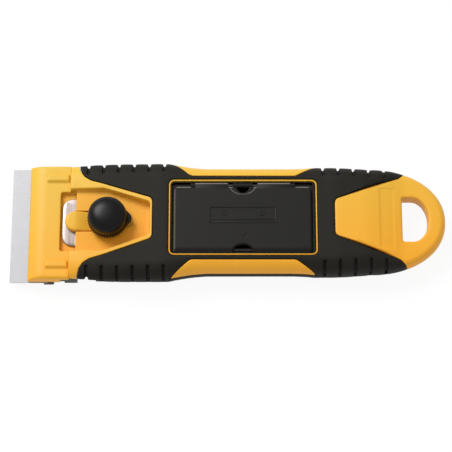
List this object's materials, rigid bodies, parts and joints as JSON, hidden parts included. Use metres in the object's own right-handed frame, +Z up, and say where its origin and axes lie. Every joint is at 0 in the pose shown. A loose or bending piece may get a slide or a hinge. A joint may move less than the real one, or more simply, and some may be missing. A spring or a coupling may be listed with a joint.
{
  "type": "glass scraper",
  "caption": "Hand scraper with a retractable wide blade clamped by a knurled knob, a soft grip handle with a lidded spare blade compartment and a hanging loop",
  "frame": {"origin": "middle of the overall length and width, on the surface that the scraper lies on", "axes": "+X runs along the handle from the blade to the hanging loop, +Y points to the side of the lid's hinge, +Z up out of the lid"},
  "size_m": [0.2188, 0.0614, 0.0267],
  "materials": {
    "yellow_plastic": "satin moulded, low gloss",
    "soft_grip": "matte, finely textured",
    "black_plastic": "satin moulded",
    "blade_steel": "ground, fine lengthwise grain",
    "bright_steel": "polished",
    "zinc_steel": "bright zinc plated",
    "brass": "turned"
  },
  "bodies": {
    "handle": {"upper_shell": "yellow_plastic", "lower_shell": "yellow_plastic", "head_cover": "yellow_plastic", "top_grip": "soft_grip", "bottom_grip": "soft_grip", "blade_tray": "black_plastic", "hinge_pin": "zinc_steel", "spare_blade_1": "blade_steel", "spare_blade_2": "blade_steel", "spare_blade_3": "blade_steel", "head_screw_1": "zinc_steel", "head_screw_2": "zinc_steel", "shell_screw_1": "zinc_steel", "shell_screw_2": "zinc_steel", "shell_screw_3": "zinc_steel", "shell_screw_4": "zinc_steel"},
    "slider": {"blade": "blade_steel", "blade_carriage": "black_plastic", "threaded_insert": "brass", "pressure_plate": "bright_steel", "slider_nose": "yellow_plastic"},
    "rising_washer": {"knob_washer": "zinc_steel"},
    "knob": {"knob": "black_plastic", "knob_stud": "zinc_steel"},
    "lid": {"compartment_cover": "black_plastic"}
  },
  "joints": [
    {"name": "blade_slide", "type": "slide", "parent": "handle", "child": "slider", "axis": [1, 0, 0], "range_m": [0, 0.0091]},
    {"name": "knob_rise", "type": "slide", "parent": "slider", "child": "rising_washer", "axis": [0, 0, 1], "range_m": [0, 0.0008]},
    {"name": "knob_turn", "type": "hinge", "parent": "rising_washer", "child": "knob", "pos_m": [-0.06, 0, 0.015], "axis": [0, 0, 1], "range_deg": [0, 360]},
    {"name": "lid_hinge", "type": "hinge", "parent": "handle", "child": "lid", "pos_m": [0.0075, 0.017, 0.0176], "axis": [-1, 0, 0], "range_deg": [0, 100]}
  ],
  "couplings": [
    {"joint": "knob_rise", "follows": "knob_turn", "m_per_rad": 0.00012732}
  ]
}
